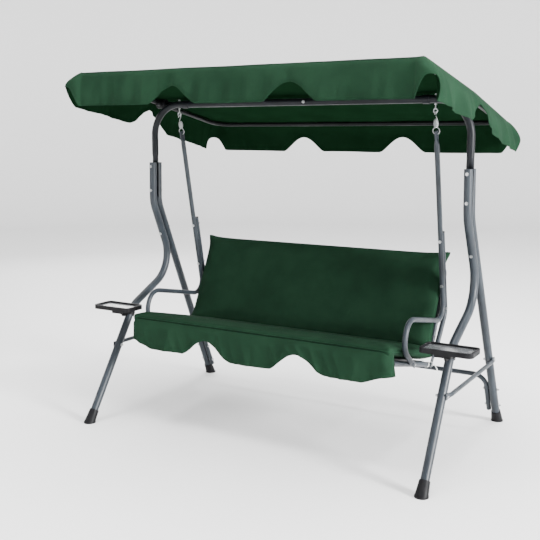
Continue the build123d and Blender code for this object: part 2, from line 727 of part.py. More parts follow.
# Cover: one sewn cloth, a sloping top with a scalloped skirt on all four sides
COVER_X = 826.0
COVER_FRONT = -550.0
COVER_REAR = 572.0
COVER_T = 3.0
COVER_CORNER = 60.0
SKIRT = 139.0
cover_slope = tan(tilt_a)
COVER_LIFT = HOOP_R + 1.0  # underside of the cloth above the hoops' centre plane
RIDGE_RISE = 13.0  # the cloth stands higher over the centre rail and its hubs
RIDGE_RUN = 560.0


def cover_z(y, lift=COVER_LIFT):
    """Height of the cloth's underside, or a level parallel to it, at a given Y."""
    ridge = RIDGE_RISE * (1 - abs(y - TILT_Y) / RIDGE_RUN)
    return TILT_Z + lift / cos(tilt_a) - cover_slope * (y - TILT_Y) + ridge


def cover_block(inset, top_lift, bottom_lift):
    """A rounded block in plan, cut by two sloping planes."""
    with BuildPart() as block:
        with BuildSketch(Plane.XY.offset(1000)):
            with Locations((0, (COVER_FRONT + COVER_REAR) / 2)):
                RectangleRounded(
                    2 * (COVER_X - inset), COVER_REAR - COVER_FRONT - 2 * inset, COVER_CORNER - inset
                )
        extrude(amount=800)
        with BuildSketch(Plane.YZ) as side:
            with BuildLine():
                Polyline(
                    (-700, cover_z(-700, top_lift)),
                    (TILT_Y, cover_z(TILT_Y, top_lift)),
                    (700, cover_z(700, top_lift)),
                    (700, cover_z(700, bottom_lift)),
                    (TILT_Y, cover_z(TILT_Y, bottom_lift)),
                    (-700, cover_z(-700, bottom_lift)),
                    close=True,
                )
            make_face()
        extrude(amount=1000, both=True, mode=Mode.INTERSECT)
    return block.part


cover = cover_block(0, COVER_LIFT + COVER_T, COVER_LIFT - SKIRT)
cover = cover - cover_block(COVER_T, COVER_LIFT, COVER_LIFT - SKIRT - 40)

NOTCH_X = 275.0
NOTCH_W = 88.0  # half the notch's width at the hem
NOTCH_H = 70.0
SIDE_NOTCH_Y = 14.0
SIDE_NOTCH_H = 50.0


def end_notch(x, y):
    """A rounded notch cut up into the front or rear skirt."""
    hem = cover_z(y, COVER_LIFT - SKIRT)
    with BuildPart(mode=Mode.PRIVATE) as notch:
        with BuildSketch(Plane(origin=(x, y + 60, hem), x_dir=(1, 0, 0), z_dir=(0, -1, 0))):
            Ellipse(NOTCH_W, NOTCH_H)
        extrude(amount=120)
    return notch.part


def side_notch(x):
    hem = cover_z(SIDE_NOTCH_Y, COVER_LIFT - SKIRT)
    with BuildPart() as notch:
        with BuildSketch(Plane(origin=(x - 40, SIDE_NOTCH_Y, hem), x_dir=(0, 1, 0), z_dir=(1, 0, 0))):
            Ellipse(80, SKIRT - SIDE_NOTCH_H + 10)
        extrude(amount=80)
    return notch.part


def corner_notch(x, y):
    """A notch that wraps round a corner of the skirt."""
    hem = cover_z(y, COVER_LIFT - SKIRT)
    with BuildPart() as notch:
        with BuildSketch(Plane(origin=(x, y, hem - 60))):
            Circle(60)
        extrude(amount=60)
        with BuildSketch(Plane(origin=(x, y, hem))):
            Circle(60)
        with BuildSketch(Plane(origin=(x, y, hem + 72))):
            Circle(26)
        loft()
    return notch.part


for side in (-1, 1):
    cover = cover - side_notch(side * COVER_X)
    for end in (COVER_FRONT, COVER_REAR):
        cover = cover - end_notch(side * NOTCH_X, end)
        cover = cover - corner_notch(side * COVER_X, end)
write(cover, "canopy_cover")

# ---- trays --------------------------------------------------------------------------------
TRAY_X = 834.0
TRAY_HALF_X = 108.0
TRAY_FRONT = -328.0
TRAY_REAR = -205.0
TRAY_LOW = 505.0
TRAY_TOP = 525.0
PANEL_TOP = 519.0
RIM = 9.0
tray_mid_y = (TRAY_FRONT + TRAY_REAR) / 2
tray_depth = TRAY_REAR - TRAY_FRONT
with BuildPart() as tray:
    with BuildSketch(Plane(origin=(TRAY_X, tray_mid_y, TRAY_LOW))):
        RectangleRounded(2 * TRAY_HALF_X, tray_depth, 22)
    extrude(amount=TRAY_TOP - TRAY_LOW)
    with BuildSketch(Plane(origin=(TRAY_X, tray_mid_y, TRAY_TOP))):
        RectangleRounded(2 * (TRAY_HALF_X - RIM), tray_depth - 2 * RIM, 22 - RIM)
    extrude(amount=-12, mode=Mode.SUBTRACT)
    fillet(tray.edges().group_by(Axis.Z)[-1], 1.5)
write_pair(tray.part, "tray")
with BuildPart() as tray_panel:
    with BuildSketch(Plane(origin=(TRAY_X, tray_mid_y, TRAY_TOP - 11.9))):
        RectangleRounded(2 * (TRAY_HALF_X - RIM) - 0.6, tray_depth - 2 * RIM - 0.6, 22 - RIM - 0.3)
    extrude(amount=4)
write_pair(tray_panel.part, "tray_panel")

# Tray clamps: a shallow block under the tray, with an open ring behind it round the front leg
CLAMP_V = 474.0
CLAMP_R = 22.5
CLAMP_LONG = 22.0
BLOCK_DEEP = 18.0
shin_up = (leg_point(front_shin_y, front_shin_v) - leg_point(-FRONT_REACH, 0)).normalized()
clamp_centre = leg_point(-FRONT_REACH + FRONT_SLOPE * CLAMP_V, CLAMP_V)
clamp_base = clamp_centre - shin_up * (CLAMP_LONG / 2)
block_plane = Plane(origin=(clamp_centre.X - 34, 0, 0), x_dir=(0, 1, 0), z_dir=(1, 0, 0))
web_plane = Plane(origin=(clamp_centre.X - 5, 0, 0), x_dir=(0, 1, 0), z_dir=(1, 0, 0))
slot_plane = Plane(origin=clamp_base - shin_up * 5, x_dir=(1, 0, 0), z_dir=shin_up)
with BuildPart() as clamp:
    with BuildSketch(Plane(origin=clamp_base, z_dir=shin_up)):
        Circle(CLAMP_R)
    extrude(amount=CLAMP_LONG)
    with BuildSketch(block_plane):
        with Locations((-262, TRAY_LOW - GAP - BLOCK_DEEP / 2)):
            Rectangle(70, BLOCK_DEEP)
    extrude(amount=68)
    with BuildSketch(web_plane):
        with BuildLine():
            Polyline(
                (-280, TRAY_LOW - 6),
                (-228, TRAY_LOW - 6),
                (clamp_centre.Y - 6, clamp_centre.Z + 4),
                (clamp_centre.Y - 16, clamp_centre.Z - 12),
                (-258, TRAY_LOW - 38),
                close=True,
            )
        make_face()
    extrude(amount=10)
    with BuildSketch(slot_plane):
        with Locations((0, 20)):
            Rectangle(20, 40)
    extrude(amount=CLAMP_LONG + 10, mode=Mode.SUBTRACT)
clamp_part = clamp.part - rod(clamp_base - shin_up * 60, shin_up, LEG_R + 0.2, 180)
write_pair(clamp_part, "tray_clamp")
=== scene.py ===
import json
import math

import bmesh
import bpy
import numpy as np
from mathutils import Matrix, Vector, noise
from mathutils.bvhtree import BVHTree


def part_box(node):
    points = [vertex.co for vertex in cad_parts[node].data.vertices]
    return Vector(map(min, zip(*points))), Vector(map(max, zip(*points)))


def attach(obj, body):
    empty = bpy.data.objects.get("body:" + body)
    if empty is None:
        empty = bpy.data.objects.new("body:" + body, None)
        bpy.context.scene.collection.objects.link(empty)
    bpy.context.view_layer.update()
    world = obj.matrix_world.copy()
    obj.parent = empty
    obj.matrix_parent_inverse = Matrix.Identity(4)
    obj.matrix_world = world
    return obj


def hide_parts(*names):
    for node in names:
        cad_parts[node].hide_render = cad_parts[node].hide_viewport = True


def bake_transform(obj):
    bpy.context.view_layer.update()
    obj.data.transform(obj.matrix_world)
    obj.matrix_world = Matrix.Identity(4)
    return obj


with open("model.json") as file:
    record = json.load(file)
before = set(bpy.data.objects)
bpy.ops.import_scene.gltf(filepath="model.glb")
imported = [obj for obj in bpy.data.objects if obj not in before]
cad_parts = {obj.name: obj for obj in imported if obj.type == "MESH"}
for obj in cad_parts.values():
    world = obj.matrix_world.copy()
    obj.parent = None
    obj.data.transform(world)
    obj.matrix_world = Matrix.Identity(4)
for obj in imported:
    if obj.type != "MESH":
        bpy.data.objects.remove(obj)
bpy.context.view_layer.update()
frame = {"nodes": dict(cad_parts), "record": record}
nodes = frame["nodes"]

# Metres, +Z up, the bench faces -Y.
SIDES = (("left", -1), ("right", 1))  # each side's name and its sign along X
SEAT_TILT = math.radians(13.5)  # seat falls towards the back
BACK_TILT = math.radians(25.6)  # backrest, from the vertical
CANOPY_TILT = math.radians(11.0)  # canopy falls towards the back
HANG_TILT = math.radians(11.6)  # hanger arms and springs, from the vertical

seat_back_way = Vector((0, math.cos(SEAT_TILT), -math.sin(SEAT_TILT)))
seat_up = Vector((0, math.sin(SEAT_TILT), math.cos(SEAT_TILT)))
back_up_way = Vector((0, math.sin(BACK_TILT), math.cos(BACK_TILT)))
back_front_way = Vector((0, -math.cos(BACK_TILT), math.sin(BACK_TILT)))
hang_down = Vector((0, math.sin(HANG_TILT), -math.cos(HANG_TILT)))
hang_out = Vector((0, math.cos(HANG_TILT), math.sin(HANG_TILT)))


def middle(node):
    """Centre of a CAD node's box."""
    low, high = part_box(node)
    return (Vector(low) + Vector(high)) / 2


# ---- materials ----------------------------------------------------------------------------
BAND_PITCH = 0.314  # metres between the bands of a wave texture of scale 1
THREAD_WANDER = 0.6
CREASE_BUMP = 0.3
CLOTH_ROUGHNESS = 0.9


class Shader:
    """A node material whose surface is one Principled shader."""

    def __init__(self, name, color, roughness, **settings):
        self.material = bpy.data.materials.new(name)
        self.material.use_nodes = True
        self.tree = self.material.node_tree
        self.surface = self.tree.nodes["Principled BSDF"]
        self.surface.inputs["Base Color"].default_value = (*color, 1)
        self.surface.inputs["Roughness"].default_value = roughness
        for key, value in settings.items():
            self.surface.inputs[key.replace("_", " ")].default_value = value
        self.height = None
        self.coords = self.add("ShaderNodeTexCoord").outputs["Object"]

    def add(self, kind, **values):
        """A new node; each value goes to the property or the input of its name."""
        node = self.tree.nodes.new(kind)
        for key, value in values.items():
            if hasattr(node, key):
                setattr(node, key, value)
            else:
                node.inputs[key.replace("_", " ")].default_value = value
        return node

    def link(self, output, target):
        self.tree.links.new(output, target)

    def place(self, key, value):
        """The object's own coordinates, with one setting of their mapping changed."""
        mapping = self.add("ShaderNodeMapping")
        mapping.inputs[key].default_value = value
        self.link(self.coords, mapping.inputs["Vector"])
        return mapping.outputs["Vector"]

    def noise(self, scale, detail=3.0, stretch=(1, 1, 1)):
        """A noise value over the object, scale in cycles per metre."""
        place = self.place("Scale", stretch)
        made = self.add("ShaderNodeTexNoise", Scale=scale, Detail=detail, Roughness=0.55)
        self.link(place, made.inputs["Vector"])
        return made.outputs["Fac"]

    def threads(self, pitch, direction, turn=(0, 0, 0)):
        """Fine ribs of one set of threads, pitch in metres."""
        place = self.place("Rotation", turn)
        wave = self.add("ShaderNodeTexWave", bands_direction=direction)
        wave.inputs["Scale"].default_value = BAND_PITCH / pitch
        wave.inputs["Distortion"].default_value = THREAD_WANDER
        wave.inputs["Detail Scale"].default_value = 3.0
        self.link(place, wave.inputs["Vector"])
        return wave.outputs["Fac"]

    def blend(self, kind, a, b):
        """Two values joined by a math operation."""
        mix = self.add("ShaderNodeMath", operation=kind)
        for socket, value in zip(mix.inputs, (a, b)):
            if isinstance(value, (int, float)):
                socket.default_value = value
            else:
                self.link(value, socket)
        return mix.outputs[0]

    def spread(self, value, low, high, start=0.3, end=0.7):
        """The value between start and end, mapped to low and high."""
        ranged = self.add("ShaderNodeMapRange")
        self.link(value, ranged.inputs["Value"])
        for key, number in (
            ("From Min", start),
            ("From Max", end),
            ("To Min", low),
            ("To Max", high),
        ):
            ranged.inputs[key].default_value = number
        return ranged.outputs["Result"]

    def tint(self, value, dark, light):
        """Base colour between two colours by a value from 0 to 1."""
        mix = self.add("ShaderNodeMix", data_type="RGBA")
        self.link(value, mix.inputs["Factor"])
        mix.inputs[6].default_value = (*dark, 1)  # the mix node's colour A
        mix.inputs[7].default_value = (*light, 1)  # and its colour B
        self.link(mix.outputs[2], self.surface.inputs["Base Color"])

    def rough(self, value):
        """Roughness from a value."""
        self.link(value, self.surface.inputs["Roughness"])

    def bump(self, value, strength, distance):
        """Adds a layer of bump over the layers before it."""
        node = self.add("ShaderNodeBump", Strength=strength, Distance=distance)
        self.link(value, node.inputs["Height"])
        if self.height is not None:
            self.link(self.height, node.inputs["Normal"])
        self.height = node.outputs["Normal"]
        self.link(self.height, self.surface.inputs["Normal"])


def powder_coat(name, dark, light, gloss):
    """Powder coat: fine orange peel, dusty patches and duller, lighter spots."""
    paint = Shader(name, dark, 0.4, Specular_IOR_Level=gloss)
    patches = paint.spread(paint.noise(9, 4), 0.0, 1.0)
    paint.tint(patches, dark, light)
    paint.rough(paint.spread(paint.noise(28, 3), 0.33, 0.47))
    paint.bump(paint.noise(900, 1), 0.18, 0.0004)
    paint.bump(paint.noise(60, 2), 0.05, 0.001)
    return paint.material


def zinc():
    """Bright zinc plate, slightly cloudy."""
    metal = Shader("zinc_plate", (0.4, 0.41, 0.42), 0.3, Metallic=1.0)
    metal.tint(metal.spread(metal.noise(220, 3), 0, 1), (0.3, 0.31, 0.32), (0.52, 0.53, 0.53))
    metal.rough(metal.spread(metal.noise(350, 2), 0.22, 0.42))
    metal.bump(metal.noise(1400, 1), 0.1, 0.0003)
    return metal.material


def black_plastic():
    """Moulded black plastic with a fine spark-eroded grain."""
    plastic = Shader("black_plastic", (0.006, 0.006, 0.007), 0.45, Specular_IOR_Level=0.12)
    plastic.tint(
        plastic.spread(plastic.noise(25, 3), 0, 1), (0.004, 0.004, 0.005), (0.009, 0.009, 0.01)
    )
    plastic.rough(plastic.spread(plastic.noise(40, 2), 0.42, 0.58))
    plastic.bump(plastic.noise(1500, 2), 0.25, 0.0003)
    return plastic.material


def tray_panel():
    """Satin grey panel, wiped and slightly scratched along its length."""
    panel = Shader("tray_panel", (0.1, 0.105, 0.11), 0.25, Coat_Weight=0.4, Coat_Roughness=0.15)
    panel.tint(panel.spread(panel.noise(14, 3), 0, 1), (0.07, 0.075, 0.08), (0.13, 0.135, 0.14))
    panel.rough(panel.spread(panel.noise(60, 3, stretch=(0.2, 3, 1)), 0.16, 0.34))
    panel.bump(panel.noise(700, 2, stretch=(0.3, 3, 1)), 0.08, 0.0003)
    return panel.material


def cloth(name, dark, light, pitch, tilt=0.0, sheen=0.0, gloss=0.04):
    """A plain weave at its real pitch, over soft creases and an uneven dye."""
    fabric = Shader(
        name,
        light,
        CLOTH_ROUGHNESS,
        Sheen_Weight=sheen,
        Sheen_Roughness=0.5,
        Specular_IOR_Level=gloss,
    )
    turn = (-tilt, 0, 0)
    across = fabric.threads(pitch, "X")
    along = fabric.blend(
        "ADD", fabric.threads(pitch, "Y", turn), fabric.threads(pitch, "Z", turn)
    )
    weave = fabric.blend("MULTIPLY", fabric.blend("ADD", across, along), 0.5)
    dye = fabric.blend("ADD", fabric.noise(7, 4), fabric.blend("MULTIPLY", weave, 0.22))
    fabric.tint(fabric.spread(dye, 0, 1, 0.35, 0.85), dark, light)
    fabric.bump(fabric.noise(11, 4), CREASE_BUMP, 0.012)
    fabric.bump(fabric.noise(45, 3), CREASE_BUMP * 0.5, 0.003)
    fabric.bump(weave, 0.3, 0.0006)
    return fabric.material


POWDER = powder_coat("powder_coat", (0.017, 0.021, 0.026), (0.028, 0.035, 0.043), 0.27)
# A darker copy of the powder coat: painted shade, where the canopy shades the beam and its saddles
SHADED_BEAM_COAT = powder_coat("beam_painted_shade_coat", (0.006, 0.007, 0.009), (0.011, 0.0125, 0.0155), 0.16)
BLACK_COAT = powder_coat("black_coat", (0.0035, 0.004, 0.0045), (0.0075, 0.008, 0.009), 0.15)
ZINC = zinc()
PLASTIC = black_plastic()
PANEL = tray_panel()
CANOPY_CLOTH = cloth(
    "canopy_cloth", (0.0068, 0.0205, 0.011), (0.0115, 0.0345, 0.018), 0.0011, CANOPY_TILT
)
# The canopy's inner side: a darker copy of its cloth, painted shade under the canopy
CANOPY_UNDERSIDE_SHADE = cloth(
    "canopy_underside_painted_shade", (0.003, 0.013, 0.005), (0.0045, 0.018, 0.0075), 0.0011, CANOPY_TILT, gloss=0.0
)
SEAT_CLOTH = cloth(
    "cushion_cloth", (0.0068, 0.0205, 0.0112), (0.0105, 0.031, 0.0165), 0.0012, SEAT_TILT
)
PIPING = cloth("piping_cloth", (0.009, 0.03, 0.016), (0.0135, 0.043, 0.0225), 0.0009)
SEAM_CLOTH = cloth("seam_cloth", (0.003, 0.0095, 0.0052), (0.0045, 0.014, 0.0075), 0.0009)
SLING = cloth("sling_cloth", (0.006, 0.006, 0.007), (0.014, 0.014, 0.016), 0.0016, sheen=0.1)
CORD = cloth("cord_braid", (0.02, 0.02, 0.022), (0.05, 0.05, 0.055), 0.0007, sheen=0.1)
TIE = cloth("tie_tape", (0.5, 0.52, 0.5), (0.68, 0.7, 0.67), 0.0008, sheen=0.1)

SLOT_MATERIALS = {
    "powder_coat": POWDER,
    "zinc_hardware": ZINC,
    "black_plastic": PLASTIC,
    "tray_panel": PANEL,
    "sling_cloth": SLING,
}
for entry in frame["record"]["subparts"]:
    name = entry["node"]
    if entry["material_slot"] in SLOT_MATERIALS:
        finish = SLOT_MATERIALS[entry["material_slot"]]
        if finish is POWDER and name.startswith("canopy_"):
            finish = BLACK_COAT
        # the beam halves and rail saddles take the darker coat, painted shade under the canopy
        elif finish is POWDER and ("beam" in name or "saddle" in name):
            finish = SHADED_BEAM_COAT
        shape = nodes[name].data
        shape.materials.clear()
        shape.materials.append(finish)
        for face in shape.polygons:
            face.material_index = 0


# ---- mesh tools ---------------------------------------------------------------------------
CLOTH_THICK = 0.0012
STITCH_PITCH = 0.007
STITCH_LENGTH = 0.0042
STITCH_R = 0.0006


def add_object(name, data):
    """Puts a mesh, light or camera into the scene."""
    made = bpy.data.objects.new(name, data)
    bpy.context.scene.collection.objects.link(made)
    return made


def mesh_object(name, verts, faces, material):
    """A smooth mesh of one material."""
    data = bpy.data.meshes.new(name)
    data.from_pydata([tuple(v) for v in verts], [], faces)
    data.materials.append(material)
    data.shade_smooth()
    return add_object(name, data)


def apply_modifiers(piece):
    """Bakes the piece's modifiers into its mesh."""
    evaluated = piece.evaluated_get(bpy.context.evaluated_depsgraph_get())
    data = bpy.data.meshes.new_from_object(evaluated)
    piece.modifiers.clear()
    piece.data = data


def thicken(sheet, thickness):
    """Gives a sheet the thickness of its cloth, half to each side."""
    thick = sheet.modifiers.new("thick", "SOLIDIFY")
    thick.thickness = thickness
    thick.offset = 0
    thick.material_offset = len(sheet.data.materials) - 1  # a second material, where there is one, covers the inner side: painted shade on the canopy
    apply_modifiers(sheet)


def read_points(piece):
    """The piece's points, one row each."""
    points = np.empty(len(piece.data.vertices) * 3)
    piece.data.vertices.foreach_get("co", points)
    return points.reshape(-1, 3)


def write_points(piece, points):
    """Moves the piece's points to the given rows."""
    piece.data.vertices.foreach_set("co", points.ravel())
    piece.data.update()


def grid_faces(rows, columns, wrap=False):
    """Quads over rows of points; wrap joins the last column to the first."""
    faces = []
    for r in range(rows - 1):
        for c in range(columns if wrap else columns - 1):
            d = (c + 1) % columns
            faces.append(
                (r * columns + c, r * columns + d, (r + 1) * columns + d, (r + 1) * columns + c)
            )
    return faces


def tube(name, points, radius, material, sides=8, closed=False):
    """A round tube through points, its section carried along without twist."""
    points = [Vector(p) for p in points]
    count = len(points)
    verts = []
    side = None
    for i, point in enumerate(points):
        before = points[(i - 1) % count] if closed or i else points[i]
        after = points[(i + 1) % count] if closed or i < count - 1 else points[i]
        run = (after - before).normalized()
        if side is None:
            side = run.orthogonal().normalized()
        side = (side - run * side.dot(run)).normalized()
        other = run.cross(side)
        for k in range(sides):
            angle = 2 * math.pi * k / sides
            verts.append(
                point + side * (radius * math.cos(angle)) + other * (radius * math.sin(angle))
            )
    faces = [
        (r * sides + c, r * sides + d, s * sides + d, s * sides + c)
        for r in range(count if closed else count - 1)
        for s in [(r + 1) % count]
        for c in range(sides)
        for d in [(c + 1) % sides]
    ]
    if not closed:
        faces.append(tuple(reversed(range(sides))))
        faces.append(tuple(range((count - 1) * sides, count * sides)))
    return mesh_object(name, verts, faces, material)


def stitches(name, line, material):
    """A row of stitches along a line of points, each a slim grain of thread."""
    reach = np.concatenate([[0], np.cumsum([(b - a).length for a, b in zip(line, line[1:])])])
    columns = [np.array([p[axis] for p in line]) for axis in range(3)]

    def at(s):
        return Vector([float(np.interp(s, reach, column)) for column in columns])

    verts, faces = [], []
    for s in np.arange(0, reach[-1] - STITCH_LENGTH, STITCH_PITCH):
        start, end = at(s), at(s + STITCH_LENGTH)
        run = (end - start).normalized()
        side = run.cross(Vector((0, 0, 1)))  # too short to use where the line runs upright
        side = side.normalized() if side.length > 0.1 else Vector((1, 0, 0))
        rise = run.cross(side)
        centre = (start + end) / 2
        base = len(verts)
        verts += [start, end]
        verts += [centre + way * STITCH_R for way in (side, rise, -side, -rise)]
        for k in range(4):
            near, far = base + 2 + k, base + 2 + (k + 1) % 4
            faces += [(base, far, near), (base + 1, near, far)]
    return mesh_object(name, verts, faces, material)


def arc(centre, u, v, radius, start, end, count=14):
    """Points round a centre between two angles, in degrees from u towards v."""
    angles = np.radians(np.linspace(start, end, count))
    return [centre + u * (radius * math.cos(a)) + v * (radius * math.sin(a)) for a in angles]


def bell(distance, width):
    """1 at 0, falling smoothly to 0 at width."""
    t = min(abs(distance) / width, 1.0)
    return 0.5 + 0.5 * math.cos(math.pi * t)


def wander(s, seed, scale):
    """Smooth noise from -1 to 1 along a line, the same on every run."""
    return noise.noise(Vector((s * scale, seed * 7.3, 0.37 * seed)))


def crease(s, seed, scale):
    """Like wander, but with sharp crests, as folded cloth has."""
    return 1 - 2.2 * abs(wander(s, seed, scale)) ** 0.75


def folds(s, t, drift, creases, waves):
    """How far a hanging cloth's folds stand out, s along it and t of the way down.

    A crease is a height, a slant, a seed and a scale; the fine waves have no slant."""
    fold = 0.0
    for high, slant, seed, scale in creases:
        fold += high * crease(s + slant * drift * t, seed, scale)
    high, seed, scale = waves
    return fold + high * wander(s, seed, scale)


# ---- canopy -------------------------------------------------------------------------------
cover_low, cover_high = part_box("canopy_cover")
rail = middle("canopy_centre_rail")
front_hoop_low, front_hoop_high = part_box("canopy_front_hoop")
HOOP_R = 0.010
# The plan of the cloth's top: a little outside the hoops, with rounded corners
HALF_X = front_hoop_high[0] + 0.010
FRONT_Y = front_hoop_low[1] - 0.004
REAR_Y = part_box("canopy_rear_hoop")[1][1] + 0.012
MID_Y = (FRONT_Y + REAR_Y) / 2
HALF_Y = (REAR_Y - FRONT_Y) / 2
CORNER = 0.034
CORNER_STEPS = 14
COVER_COLUMNS, COVER_ROWS = 150, 104
# The top's height
CLOTH_CLEAR = 0.0015  # from the tubes to the middle of the cloth
RIDGE = 0.013  # the centre rail and its hubs stand higher than the hoops
RIDGE_RUN = 0.56
SAG = 0.007
RIPPLE = 0.0022
EDGE_RUN = 0.016  # over this width the cloth curves down towards its edge
EDGE_CURVE = 22
TOP_SEAM_R = 0.0024
TOP_SEAM_UP = 0.001
# The skirt: its depth, how far each side's hem stands out, and the corners' extra fold
SKIRT = 0.139
SKIRT_STEPS = 22
SIDE_FLARE = 0.028
FRONT_FLARE = 0.014
REAR_FLARE = 0.036
FLARE_RUN = 0.045
FRONT_EAR = 0.05
REAR_EAR = 0.03
EAR_WIDE = 0.022
BEND = 0.02  # the depth in which the skirt turns down from the top
BEND_OUT = 0.006
BEND_UP = 0.003
SKIRT_CREASES = ((0.015, 0.05, 2, 6.5), (0.009, -0.06, 3, 15.0))
SKIRT_WAVES = (0.0015, 4, 40.0)
PROUD = 0.02  # the most it may stand outside its CAD solid along Y
PROUD_SOFT = 0.015
HEM_R = 0.0015
HEM_WIDE = 0.011  # from the hem to its row of stitches
STITCH_OUT = 0.0009  # the stitches' height over the sheet's middle
# The scallops cut up into the hem
NOTCH_X = 0.275
NOTCH_WIDE = 0.116
NOTCH_HIGH = 0.073
SIDE_NOTCH_Y = 0.014
SIDE_NOTCH_WIDE = 0.15
SIDE_NOTCH_HIGH = 0.087
FRONT_CORNER_NOTCH = (0.08, 0.017)  # height and half width
REAR_CORNER_NOTCH = (0.062, 0.021)


def cover_height(x, y):
    """Height of the cloth: stretched over hoops and rail, sagging a little between them."""
    level = rail.z + (HOOP_R + CLOTH_CLEAR) / math.cos(CANOPY_TILT)
    level -= math.tan(CANOPY_TILT) * (y - rail.y)
    ridge = max(0.0, 1 - abs(y - rail.y) / RIDGE_RUN)
    bay = math.sin(math.pi * min(abs(y - rail.y) / RIDGE_RUN, 1.0))
    inward = max(0.0, 1 - (abs(x) / HALF_X) ** 4)
    sag = SAG * bay * inward
    ripple = RIPPLE * noise.noise(Vector((x * 5, y * 7, 1.3))) * inward
    edge = max(0.0, abs(y - MID_Y) - (HALF_Y - EDGE_RUN), abs(x) - (HALF_X - EDGE_RUN))
    return level + RIDGE * ridge - sag + ripple - edge * edge * EDGE_CURVE


def rounded(a, b):
    """Point of the rounded plan for a point of the square from -1 to 1."""
    x, y = a * HALF_X, b * HALF_Y
    dx = (abs(x) - (HALF_X - CORNER)) / CORNER
    dy = (abs(y) - (HALF_Y - CORNER)) / CORNER
    if dx > 0 and dy > 0:
        x = math.copysign(HALF_X - CORNER + CORNER * dx * math.sqrt(1 - dy * dy / 2), x)
        y = math.copysign(HALF_Y - CORNER + CORNER * dy * math.sqrt(1 - dx * dx / 2), y)
    return x, MID_Y + y


def spaced(count, half):
    """Steps from -1 to 1, closer together over the rounded corners."""
    edge = 1 - CORNER / half
    ends = np.linspace(edge, 1, CORNER_STEPS)
    inner = np.linspace(-edge, edge, count - 2 * (CORNER_STEPS - 1))
    return np.concatenate([-ends[::-1], inner[1:-1], ends])


def from_corner(x, y):
    """Distance of a rim point from the middle of the nearest rounded corner."""
    away = math.hypot(abs(x) - HALF_X, abs(y - MID_Y) - HALF_Y)
    return max(0.0, away - CORNER * (math.sqrt(2) - 1))


def hem_rise(x, y, sideways):
    """How far the hem is cut up from the skirt's full depth."""
    high, wide = FRONT_CORNER_NOTCH if y < MID_Y else REAR_CORNER_NOTCH
    corner = high * bell(from_corner(x, y), wide) ** 0.8
    if sideways:
        return max(corner, SIDE_NOTCH_HIGH * bell(y - SIDE_NOTCH_Y, SIDE_NOTCH_WIDE))
    return max(corner, NOTCH_HIGH * bell(abs(x) - NOTCH_X, NOTCH_WIDE) ** 0.65)


def kept_near(y):
    """Bends the cloth back before it stands too far outside its CAD solid."""
    over = y - (cover_high[1] + PROUD - PROUD_SOFT)
    if over > 0:
        return y - over + PROUD_SOFT * (1 - math.exp(-over / PROUD_SOFT))
    under = (cover_low[1] - PROUD + PROUD_SOFT) - y
    if under > 0:
        return y + under - PROUD_SOFT * (1 - math.exp(-under / PROUD_SOFT))
    return y


def skirt_strip(point, out, travelled):
    """The skirt's points below one rim point, and where its hem's stitches pass."""
    depth = SKIRT - hem_rise(point.x, point.y, abs(out.x) > abs(out.y))
    drift = wander(travelled, 1, 3.1)
    end_flare, ear = (FRONT_FLARE, FRONT_EAR) if point.y < MID_Y else (REAR_FLARE, REAR_EAR)
    flare = SIDE_FLARE * out.x**2 + end_flare * out.y**2
    flare += ear * bell(from_corner(point.x, point.y), EAR_WIDE)
    strip = []
    for k in range(1, SKIRT_STEPS + 1):
        t = k / SKIRT_STEPS
        fall = depth * t
        turn = min(fall / BEND, 1.0)
        out_by = BEND_OUT * math.sin(turn * math.pi / 2)
        out_by += flare * (1 - math.exp(-fall / FLARE_RUN)) / (1 - math.exp(-SKIRT / FLARE_RUN))
        fold = folds(travelled, t, drift, SKIRT_CREASES, SKIRT_WAVES)
        out_by += fold * min(1.0, t * 1.2) ** 1.2  # the folds open on the way down
        drop = fall - BEND_UP * (1 - turn)
        spot = point + out * out_by - Vector((0, 0, drop))
        strip.append(Vector((spot.x, kept_near(spot.y), spot.z)))
    sewn = max(0.0, 1 - HEM_WIDE / depth) * SKIRT_STEPS - 1
    lower = min(int(sewn), SKIRT_STEPS - 2)
    return strip, strip[lower].lerp(strip[lower + 1], sewn - lower) + out * STITCH_OUT


def make_cover():
    """One sheet: the sloping top, folded over the frame into the scalloped skirt.

    Returns it with the lines of its hem, of the seam round its top and of its stitches."""
    across = spaced(COVER_COLUMNS, HALF_X)
    deep = spaced(COVER_ROWS, HALF_Y)
    columns, rows = len(across), len(deep)
    verts = []
    for b in deep:
        for a in across:
            x, y = rounded(a, b)
            verts.append(Vector((x, y, cover_height(x, y))))
    faces = grid_faces(rows, columns)
    loop = list(range(columns))
    loop += [r * columns + columns - 1 for r in range(1, rows)]
    loop += [(rows - 1) * columns + c for c in range(columns - 2, -1, -1)]
    loop += [r * columns for r in range(rows - 2, 0, -1)]
    rim = [verts[i].copy() for i in loop]
    count = len(rim)
    strips, stitched = [], []
    travelled = 0.0
    for i, point in enumerate(rim):
        ahead, behind = rim[(i + 1) % count], rim[i - 1]
        travelled += (point - behind).length if i else 0
        run = Vector((ahead.x - behind.x, ahead.y - behind.y, 0)).normalized()
        strip, sewn = skirt_strip(point, Vector((run.y, -run.x, 0)), travelled)
        strips.append(strip)
        stitched.append(sewn)
    base = len(verts)
    for k in range(SKIRT_STEPS):
        verts += [strip[k] for strip in strips]
    for i in range(count):
        j = (i + 1) % count
        faces.append((loop[j], loop[i], base + i, base + j))
        for k in range(SKIRT_STEPS - 1):
            a, b = base + k * count, base + (k + 1) * count
            faces.append((a + j, a + i, b + i, b + j))
    cover = mesh_object("canopy_sheet", verts, faces, CANOPY_CLOTH)
    bm = bmesh.new()
    bm.from_mesh(cover.data)
    bmesh.ops.recalc_face_normals(bm, faces=bm.faces)
    bm.to_mesh(cover.data)
    bm.free()
    # the inner side gets the darker cloth, painted shade
    cover.data.materials.append(CANOPY_UNDERSIDE_SHADE)
    thicken(cover, CLOTH_THICK)
    hem = [strip[-1] for strip in strips]
    seam = [point + Vector((0, 0, TOP_SEAM_UP)) for point in rim]
    return cover, hem, seam, stitched


